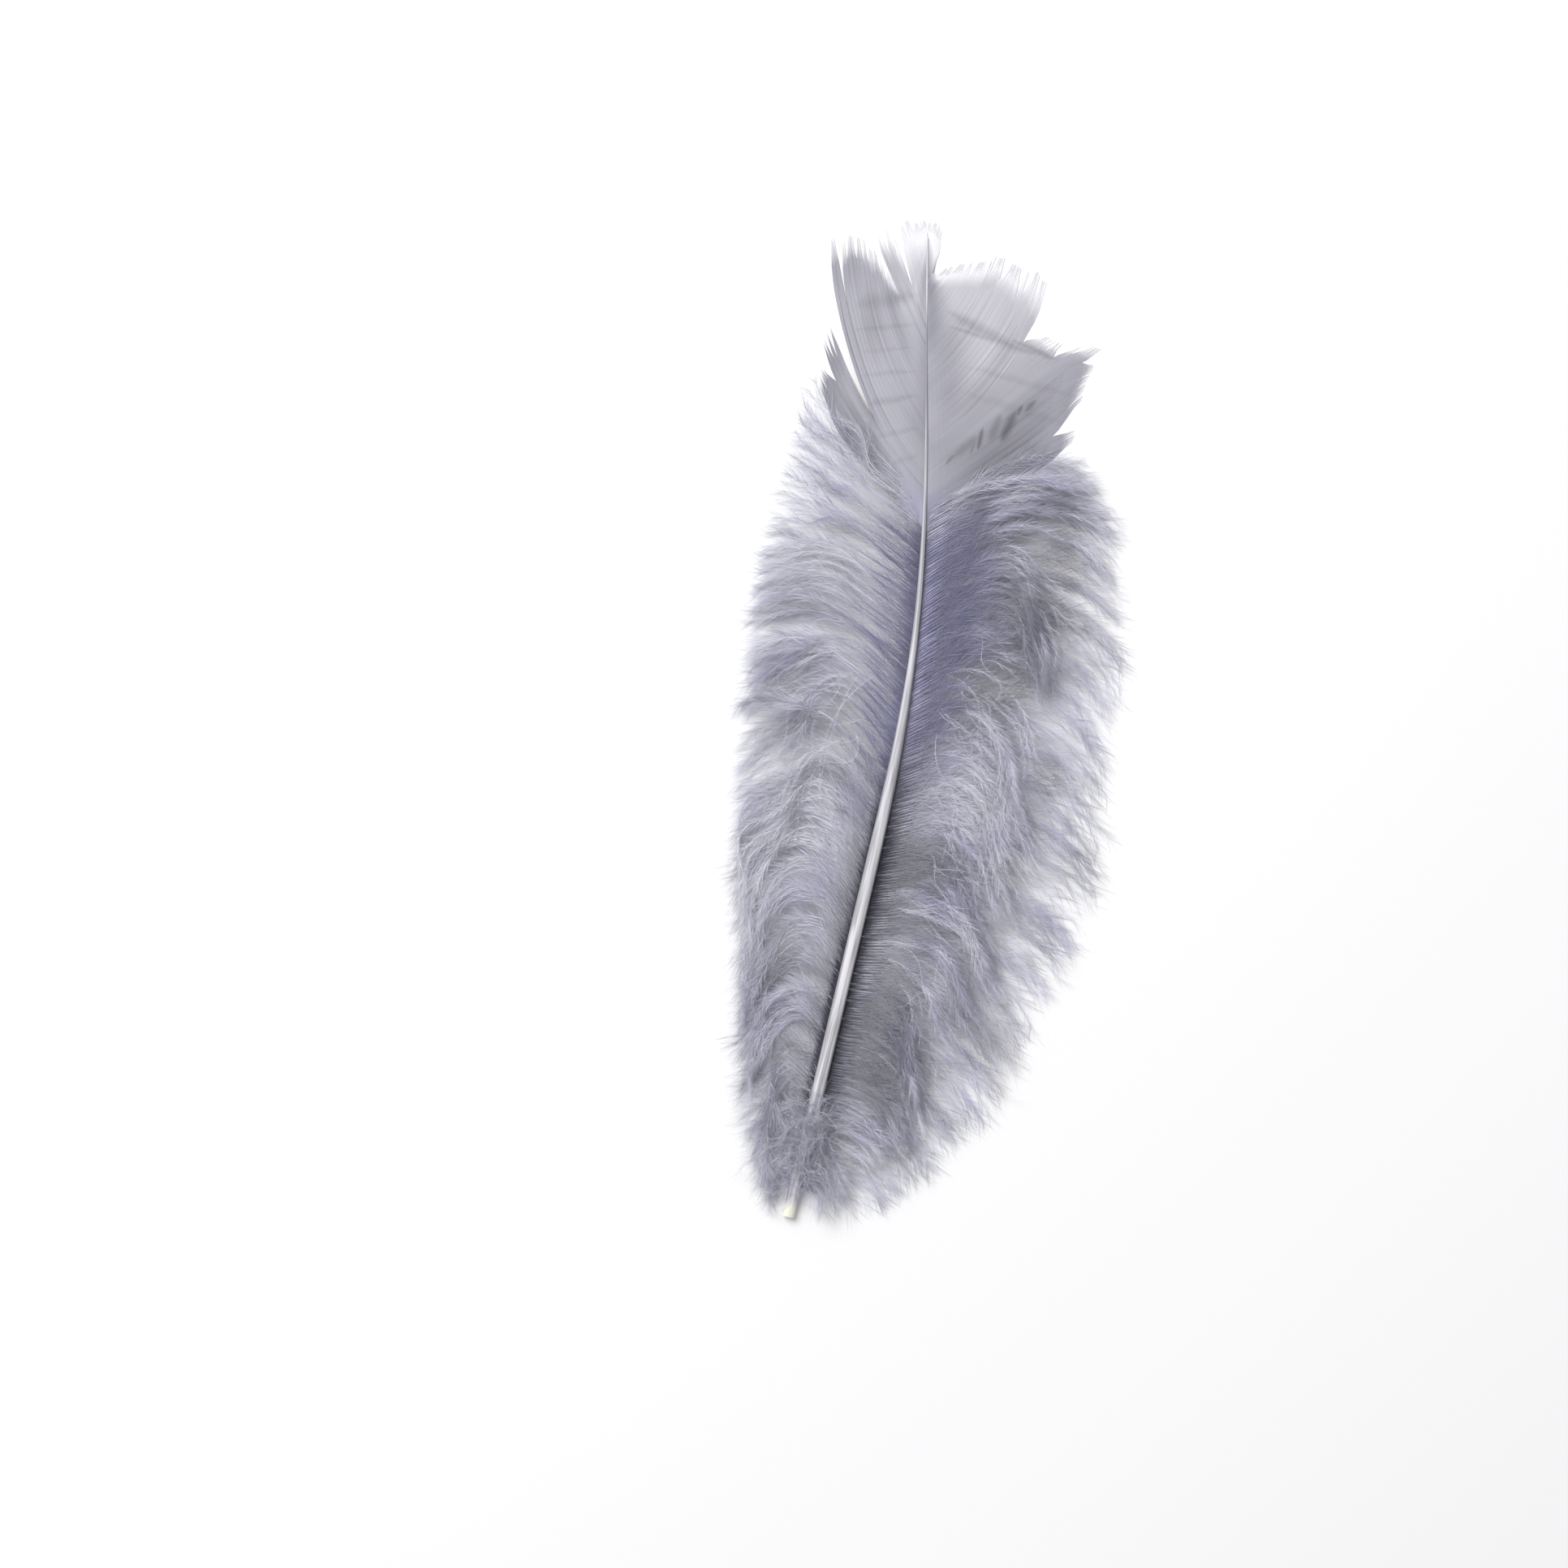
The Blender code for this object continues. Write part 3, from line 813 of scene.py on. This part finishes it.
def vane_side(name, side, lobes, rng):
    """Guides of the closed vane on one side of the shaft."""
    spacing = bpy.context.scene.feather_shape.vane_spacing / MM
    parts = [lobe_barbs(rng, side, lobe, spacing) for lobe in lobes]
    along, flat = (np.concatenate(group) for group in zip(*parts))
    counts = [len(part[0]) for part in parts]
    for end, lobe in zip(np.cumsum(counts)[:-1], lobes):
        close_slit(flat, end - 1, lobe.slit)
    barbs = Barbs(rng, side, along, VANE_ROWS)
    place, out = barbs.place, barbs.out
    reach = np.linalg.norm(flat[:, -1] - flat[:, 0], axis=1)[:, None] * out
    to_tip = reach[:, -1:] - reach

    here = np.clip(place + (flat[..., 1] - flat[:, :1, 1]), 0, SHAFT_LENGTH)
    top = mix(shaft_height(place), shaft_height(here), smooth(112, 124, place))
    falls_to = mix(0.85, 0.6, smooth(116, 130, place))
    height = mix(top - 0.1 * smooth(122, 108, place), VANE_FLOOR, smooth(0, falls_to, out))
    height += 0.12 * barbs.waves(reach, 9, 30) * smooth(0.1, 0.4, out) * smooth(0.95, 0.6, out)
    height -= 0.4 * smooth(99, 94, place) * smooth(0, 1, reach) * smooth(8, 3, reach)
    height = np.maximum(height, VANE_FLOOR)
    roll = rolls(flat, height)
    height += 0.022 * (np.arange(barbs.count)[:, None] % 4) * smooth(0.75, 0.95, out)

    shade = 0.18 + barbs.normal(0, 0.05) + 0.08 * barbs.waves(reach, 2, 60)
    shade += 0.14 * barbs.waves(reach, 7, 10)
    # Painted shade: the first, loose barbs of each side are darkened for the gaps beneath them, less so on
    # the right.
    shade += 0.6 * smooth(5.5, 3, place - along[0]) * smooth(0.1, 0.5, out) * (0.3 if side == RIGHT else 1)
    fade, pale = (np.repeat([getattr(lobe, key) for lobe in lobes], counts) for key in ("fade", "pale"))
    pale = np.convolve(np.pad(pale, 8, "edge"), np.ones(17) / 17, "valid")
    thin = 0.95 * smooth(1, 0.05, to_tip / fade[:, None]) + pale[:, None] * smooth(0.12, 0.6, out)
    values = {
        "roll": roll,
        "shade": np.clip(shade, 0, 1),
        "thin": np.clip(thin, 0, 1),
        "violet": 0.5 * smooth(101, 94, place) * smooth(7, 1, reach),
    }
    return guide_object(name, raised(flat, height), web_width(flat, to_tip), **values)


class FEATHER_OT_vane(Operator):
    """Grows the closed vane on both sides of the upper shaft"""

    bl_idname = "feather.vane"
    bl_label = "Closed vane"

    def execute(self, context):
        tree, material = web_tree(), vane_material()
        rng = np.random.default_rng(context.scene.feather_shape.seed)
        for name, side, lobes in (("vane_left", LEFT, LEFT_LOBES), ("vane_right", RIGHT, RIGHT_LOBES)):
            grow(vane_side(name, side, lobes, rng), tree, {"Material": material})
        return {"FINISHED"}


# ---- The down's layers ----


def dye_and_painted_shade(side, place, reach, light_and_shade):
    """Shares of violet dye, which spares pale tufts, and of painted shade by the shaft and in deep gaps."""
    right = side == RIGHT
    wide = mix(7 if right else 6.5, 12.2 if right else 11.5, smooth(55, 80, place))
    violet = smooth(50, 66, place) * smooth(97, 90, place) * smooth(1, 0.3, reach / wide)
    # Painted shade: the down is darkened in a band beside the shaft, where the shaft casts its shadow, and
    # in the deepest gaps between tufts.
    edge = shaft_width(place) / 2
    low = smooth(6, 20, place) * smooth(72, 44, place)
    near = smooth(edge + mix(0.9, 1.9 if right else 1.2, low), edge + 0.5, reach)
    around = smooth(edge + (6.5 if right else 3), edge + 1, reach)
    root = mix(0.3, 0.95, low) * near + mix(0.08, 0.3, low) * around + 0.6 * np.clip(-0.4 - light_and_shade, 0, 1)
    if right:
        violet *= mix(0.75, 1, smooth(1.5, 4.5, reach))
    else:
        # On the left, where more light falls, the violet is laid on more thickly and more painted shade is
        # added beside the shaft.
        violet *= 1.12
        deep = 0.16 * smooth(3, 1.5, reach) + 0.13 * smooth(6.5, 3.5, reach)
        root += deep * smooth(66, 76, place) * smooth(99, 93, place)
    return 0.88 * violet * (1 - 0.9 * np.clip(light_and_shade, 0, 1)), np.clip(root, 0, 1)


def sleekness_and_sheen(side, place, outwards):
    """How sleek the down lies, which it does in a band on the left, where its fluff also gets a painted
    sheen.
    """
    return smooth(50, 62, place) * bell(6.5, 3.5, outwards) * (side == LEFT)


def painted_light_and_shade(flat):
    """How much paler the down is painted at these places, as painted light, and how much darker, as painted
    shade.
    """
    return sum(amount * bell(0, size, np.linalg.norm(flat - at, axis=2)) for *at, size, amount in LIGHT_AND_SHADE_SPOTS)


def rooted(rng, side, spacing, rows):
    """The barbs of one layer of down, all along the lower shaft."""
    count = round((LAST_DOWN[side] - FIRST_DOWN) / spacing)
    along = mix(FIRST_DOWN, LAST_DOWN[side], np.linspace(0, 1, count))
    return Barbs(rng, side, along + rng.uniform(-0.4, 0.4, count) * spacing, rows)


def lower_barbs(rng, side, spacing):
    """Barbs of the down's lower layer, which reach its outline and end there in wisps."""
    barbs = rooted(rng, side, spacing, DOWN_ROWS)
    place, out = barbs.place, barbs.out
    up = np.linspace(0, 1, barbs.count)[:, None]
    launch, ends = (np.interp(up, np.linspace(0, 1, 8), angles[side]) for angles in (LAUNCHES, ENDS))
    tufts = barbs.tufts(8)
    turned, longer = barbs.by_tuft(tufts), barbs.by_tuft(tufts)
    reach = out * 22
    angles = mix(launch, ends, smooth(0.3, 1, out)) + 3 * turned * out
    angles += 4 * barbs.waves(reach, 14, 20) * smooth(0.15, 0.6, out)
    angles += barbs.normal(0, 4) * out + 6 * barbs.own_waves(reach, 14) * smooth(0.2, 0.9, out)
    part = 0.96 + 0.02 * longer + barbs.normal(0, 0.025) - 0.12 * (barbs.even(0, 1) < 0.2)
    length = barbs.lengths_to(angles, part)
    flat, outwards, here = barbs.laid(angles, length)
    flat = kept_in(gathered(flat, tufts, 0.16 * smooth(0.6, 0.98, out)))
    reach = length * out

    lift = barbs.even(0, 1)
    height = mix(shaft_height(here) - 0.4, 0.1 + 0.5 * lift, smooth(0, 0.95, to_edge(side, here, outwards)))
    height += (0.1 + 0.4 * lift) * np.sin(np.pi * out)
    height += 0.3 * barbs.waves(reach, 6, 9) * smooth(0.05, 0.4, out)
    thickness = mix(0.09, mix(0.035, 0.014, out), smooth(0.5, 4, reach)) * barbs.even(0.8, 1.2)
    sleek_sheen = sleekness_and_sheen(side, place, outwards)
    long = mix(0.55, 1, smooth(1, 6, reach)) * mix(1, 0.6, smooth(0.8, 1, out)) * barbs.even(0.8, 1.1)
    light_and_shade = painted_light_and_shade(flat)
    # Painted shade: the lower layer starts darker than the fluff above it, takes the spots of painted light
    # and shade, and is darker still in the sleek band, in the gaps between its locks.
    shade = 0.36 + 0.2 * barbs.waves(reach, 3, 12) + barbs.normal(0, 0.08)
    shade += 0.06 * turned + light_and_shade - 0.3 * sleek_sheen
    violet, root = dye_and_painted_shade(side, place, outwards, light_and_shade)
    values = {"thickness": thickness, "barbule": long * (1 - 0.5 * sleek_sheen), "shade": np.clip(shade, 0, 1)}
    return raised(flat, height, 0.12), {**values, "violet": violet * barbs.even(0.72, 1.16), "root": root}


def fluff_barbs(rng, side, spacing):
    """Barbs of the fluff above, in tufts that rise from the shaft, arch over and droop."""
    barbs = rooted(rng, side, spacing, FLUFF_ROWS)
    place, out = barbs.place, barbs.out
    tufts = barbs.tufts(9)
    turned, lighter, late = (barbs.by_tuft(tufts) for _ in range(3))
    length, angles = barbs.flows(out * (1 + 0.19 * late + barbs.normal(0, 0.06)))
    length = length * rng.uniform(0.72, 1.1, tufts.max() + 1)[tufts][:, None] * barbs.normal(1, 0.06)
    reach = length * out
    locks = barbs.tufts(3)
    angles += (13 * turned + 7 * barbs.by_tuft(locks)) * out + barbs.normal(0, 5) * smooth(0.15, 0.6, out)
    outer = smooth(7, 12, reach)
    if side == LEFT:
        wild = 1 + 0.9 * np.maximum(smooth(62, 50, place), outer)
    else:
        wild = 1 + 0.9 * outer * smooth(60, 74, place)
    angles += 10 * wild * barbs.waves(reach, 12, 14) * smooth(0.2, 0.6, out)
    angles += 8 * wild * barbs.own_waves(reach, 12) * smooth(0.25, 0.9, out)
    length = barbs.lengths_within(angles, length, 0.97)
    flat, outwards, here = barbs.laid(angles, length)
    sleek = smooth(50, 62, place) * (side == LEFT)
    flat = gathered(flat, locks, mix(0.45, 0.75, sleek) * smooth(0.05, 0.25, out))
    flat = kept_in(gathered(flat, tufts, 0.3 * smooth(0.3, 0.95, out)))
    reach = length * out

    edge = to_edge(side, here, outwards)
    lift = rng.uniform(0, 1, tufts.max() + 1)[tufts][:, None] + barbs.normal(0, 0.12)
    rise = 0.1 + (0.3 + 1.3 * lift) * smooth(0.08, 0.55, out) + 0.4 * smooth(0.4, 0.9, out)
    height = fluff_height(here, edge, rise)
    height -= mix(0.6, 0.1, smooth(84, 93, place)) * bell(1.6, 1.2, outwards)
    height += 0.35 * barbs.waves(reach, 5, 9) * smooth(0.1, 0.4, out)
    thickness = mix(0.045, 0.014, out) * barbs.even(0.8, 1.25)
    sleek_sheen = sleekness_and_sheen(side, place, outwards)
    long = mix(0.4, 1, smooth(1, 7, reach)) * mix(1, 0.5, smooth(0.7, 1, out)) * barbs.even(0.7, 1.05)
    streaks = barbs.waves(reach, 0.9, 30)
    light_and_shade = painted_light_and_shade(flat)
    patchy = 0.22 + 0.14 * (side == RIGHT) * smooth(38, 50, place) * smooth(4, 8, outwards)
    # The fluff's shade takes a painted sheen in the sleek band and the spots of painted light and shade.
    shade = 0.5 + 0.25 * lighter + patchy * barbs.waves(reach, 3, 13) + 0.12 * sleek_sheen + light_and_shade
    violet, root = dye_and_painted_shade(side, place, outwards, light_and_shade)
    # Painted light lifts the lower left, where the hanging strands fall into shade, and painted shade
    # darkens the violet band on the left.
    if side == LEFT:
        shade += 0.14 * smooth(60, 45, place) - 0.3 * violet
    # Streaks of paler and darker locks, made stronger in the sleek band as a painted sheen of bright strands
    # between darker ones.
    streaks = 0.6 * streaks + 0.6 * barbs.by_tuft(locks)
    shade = np.clip(shade, 0, mix(0.88, 0.74, sleek_sheen)) + (0.22 + 0.3 * sleek_sheen) * streaks
    violet = violet * np.clip(1 - 0.25 * streaks, 0.4, 1.3)
    values = {"thickness": thickness, "barbule": long * (1 - 0.68 * sleek_sheen), "shade": np.clip(shade, 0, 1)}
    return raised(flat, height, 0.3), {**values, "violet": violet, "root": root}


def shaded_root_webs(side, paths, values):
    """Webs at the roots of the lower layer's barbs, which close the down beside the shaft and carry its
    painted shade there.
    """
    length = np.linalg.norm(np.diff(paths, axis=1), axis=2).sum(1)
    out = np.linspace(0, 1, WEB_ROWS + 1)[None]
    place = out * np.minimum(1, WEB_REACH[side] / length)[:, None] * (paths.shape[1] - 1)
    own = {key: between_rows(value, place) for key, value in values.items()}
    webs = between_rows(paths, place)
    webs[..., 2] -= 0.12
    return webs, {**own, "thickness": mix(0.27, 0.04, out)}


def loose_paths(barbs, turn, bends, wave, size, beside):
    """Flat paths of loose barbs with these turns, waves and lengths, which start so far beside the shaft."""
    across = lean(barbs.place)
    turn = across + np.radians(turn + bends * barbs.own_waves(barbs.out, wave))
    steps = heading(turn)[:, 1:] * (size / CURL_ROWS)[..., None]
    away = (barbs.side * barbs.even(*beside))[..., None] * heading(across + np.pi / 2)
    root = shaft_point(barbs.place) + away
    return kept_in(np.concatenate((root, root + np.cumsum(steps, 1)), 1))


def curl_barbs(rng):
    """Barbs of curly fluff that grow by the quill's foot and cross over it."""
    along, side = rng.triangular(4, 13, 17, CURLS), rng.choice((-1.0, 1.0), (CURLS, 1))
    barbs = Barbs(rng, side, along, CURL_ROWS)
    out, size = barbs.out, barbs.even(5, 10)
    turn = barbs.even(40, 150) + rng.choice((-1, 1, 1), (CURLS, 1)) * barbs.even(60, 260) * out
    flat = loose_paths(barbs, side * turn, 15, 0.4, size, (-3.6, 0.6))
    rise = barbs.even(0.9, 2.4)
    height = shaft_height(barbs.place) + rise * smooth(0, 0.25, out)
    height -= 0.8 * (rise + 1) * smooth(0.5, 1, out)
    # The curls get a little painted shade through root.
    values = {"barbule": 0.62 * mix(1, 0.6, out) * barbs.even(0.7, 1.1), "violet": 0.12, "root": 0.16}
    return raised(flat, height), {**values, "shade": np.clip(barbs.normal(0.5, 0.22), 0, 1)}


def stray_barbs(rng):
    """Single long strands with few barbules, which lie across the fluff."""
    along, side = rng.triangular(24, 74, 88, STRAYS), rng.choice((-1.0, 1.0, 1.0, 1.0, 1.0), (STRAYS, 1))
    barbs = Barbs(rng, side, along, CURL_ROWS)
    out, size = barbs.out, barbs.even(10, 20)
    turn = barbs.normal(125, 25) + barbs.even(-70, 70) * out
    flat = loose_paths(barbs, side * turn, 26, 0.7, size, (4, 12))
    gaps = np.linalg.norm(flat[:, :, None] - LINE, axis=3)
    here, outwards = LINE_STEPS[gaps.argmin(2)], gaps.min(2)
    edge = np.where(side == RIGHT, to_edge(RIGHT, here, outwards), to_edge(LEFT, here, outwards))
    over = barbs.even(1.3, 2.1) - 1.2 * smooth(0.25, 0, out) + 0.2 * barbs.own_waves(out, 0.6)
    paths = raised(flat, fluff_height(here, edge, over))
    return paths, {"barbule": 0.4, "shade": 0.8, "violet": 0, "root": 0}


class FEATHER_OT_down(Operator):
    """Grows the down on both sides of the lower shaft"""

    bl_idname = "feather.down"
    bl_label = "Down"

    def execute(self, context):
        shape = context.scene.feather_shape
        tree, webs, material = down_tree(), web_tree(), down_material()
        rng = np.random.default_rng(shape.seed + 1)

        def grow_down(name, paths, values, gap, seed):
            settings = {"Seed": seed, "Material": material, "Barbule Length": shape.barbule_length}
            settings["Barbule Spacing"] = gap * shape.barbule_spacing
            grow(guide_object(name, paths, **values), tree, settings)

        pieces = 3
        for layer, barbs_of, closer, gap in (("down", lower_barbs, 1, 1), ("fluff", fluff_barbs, 0.9, 0.7)):
            for word, side in (("left", LEFT), ("right", RIGHT)):
                paths, values = barbs_of(rng, side, closer * shape.down_spacing / MM)
                if layer == "down":
                    flat, own = shaded_root_webs(side, paths, values)
                    grow(guide_object(f"webs_{word}", flat, **own), webs, {"Material": material})
                for number, rows in enumerate(np.array_split(np.arange(len(paths)), pieces), 1):
                    part = {key: value[rows] for key, value in values.items()}
                    seed = int(rng.integers(1, 1000))
                    grow_down(f"{layer}_{word}_{number}", paths[rows], part, gap, seed)
        thickness = mix(0.028, 0.012, np.linspace(0, 1, CURL_ROWS + 1))
        for name, barbs_of, gap in (("curls", curl_barbs, 0.7), ("strays", stray_barbs, 1.6)):
            paths, values = barbs_of(rng)
            grow_down(name, paths, {"thickness": thickness, **values}, gap, 5)
        return {"FINISHED"}


# ---- The stage ----


class FEATHER_OT_stage(Operator):
    """Sets the pale floor, the soft light and the camera above the feather"""

    bl_idname = "feather.stage"
    bl_label = "Stage"

    def execute(self, context):
        scene, setting = context.scene, context.scene.feather_stage
        centre = Vector((*setting.view_centre, 0))
        bpy.ops.mesh.primitive_plane_add(size=4, location=centre)
        floor = context.object
        floor.name = "floor"
        pale = {"Base Color": (0.86, 0.86, 0.87, 1), "Roughness": 0.8}
        floor.data.materials.append(Paint("pale floor").finish(pale))

        camera = placed("camera", bpy.data.cameras.new("camera"))
        camera.data.lens = setting.lens
        camera.data.sensor_width = 36
        camera.data.clip_start = 0.01
        distance = setting.photo_width * setting.lens / camera.data.sensor_width
        camera.location = centre + Vector((0, 0, distance))
        scene.camera = camera

        key = placed("key", bpy.data.lights.new("key", "AREA"))
        key.data.size = 0.6
        key.data.energy = setting.key_power
        key.location = centre + Vector((-0.4, 0.44, 0.8))
        key.rotation_euler = (centre - key.location).to_track_quat("-Z", "Y").to_euler()

        scene.world = bpy.data.worlds.new("soft light")
        scene.world.use_nodes = True
        sky = scene.world.node_tree.nodes["Background"]
        sky.inputs["Color"].default_value = (1, 1, 1, 1)
        sky.inputs["Strength"].default_value = setting.fill
        scene.view_settings.view_transform = "Standard"
        return {"FINISHED"}


# ---- The add-on ----


class FEATHER_PT_panel(Panel):
    """Lists the feather's parts and sizes"""

    bl_idname = "FEATHER_PT_panel"
    bl_label = "Goose feather"
    bl_space_type = "VIEW_3D"
    bl_region_type = "UI"
    bl_category = "Feather"

    def draw(self, context):
        layout = self.layout
        for kind in OPERATORS:
            layout.operator(kind.bl_idname)
        for group in GROUPS:
            settings, box = getattr(context.scene, group), layout.box()
            for name in settings.bl_rna.properties.keys():
                if name not in {"rna_type", "name"}:
                    box.prop(settings, name)


GROUPS = {"feather_shape": FeatherShape, "feather_colours": FeatherColours, "feather_stage": FeatherStage}
OPERATORS = (FEATHER_OT_quill, FEATHER_OT_vane, FEATHER_OT_down, FEATHER_OT_stage)
CLASSES = (*GROUPS.values(), *OPERATORS, FEATHER_PT_panel)


def register():
    for kind in CLASSES:
        bpy.utils.register_class(kind)
    for name, group in GROUPS.items():
        setattr(bpy.types.Scene, name, PointerProperty(type=group))


def unregister():
    for name in GROUPS:
        delattr(bpy.types.Scene, name)
    for kind in reversed(CLASSES):
        bpy.utils.unregister_class(kind)


def main():
    register()
    bpy.ops.feather.quill()
    bpy.ops.feather.vane()
    bpy.ops.feather.down()
    bpy.ops.feather.stage()


if __name__ == "__main__":
    main()
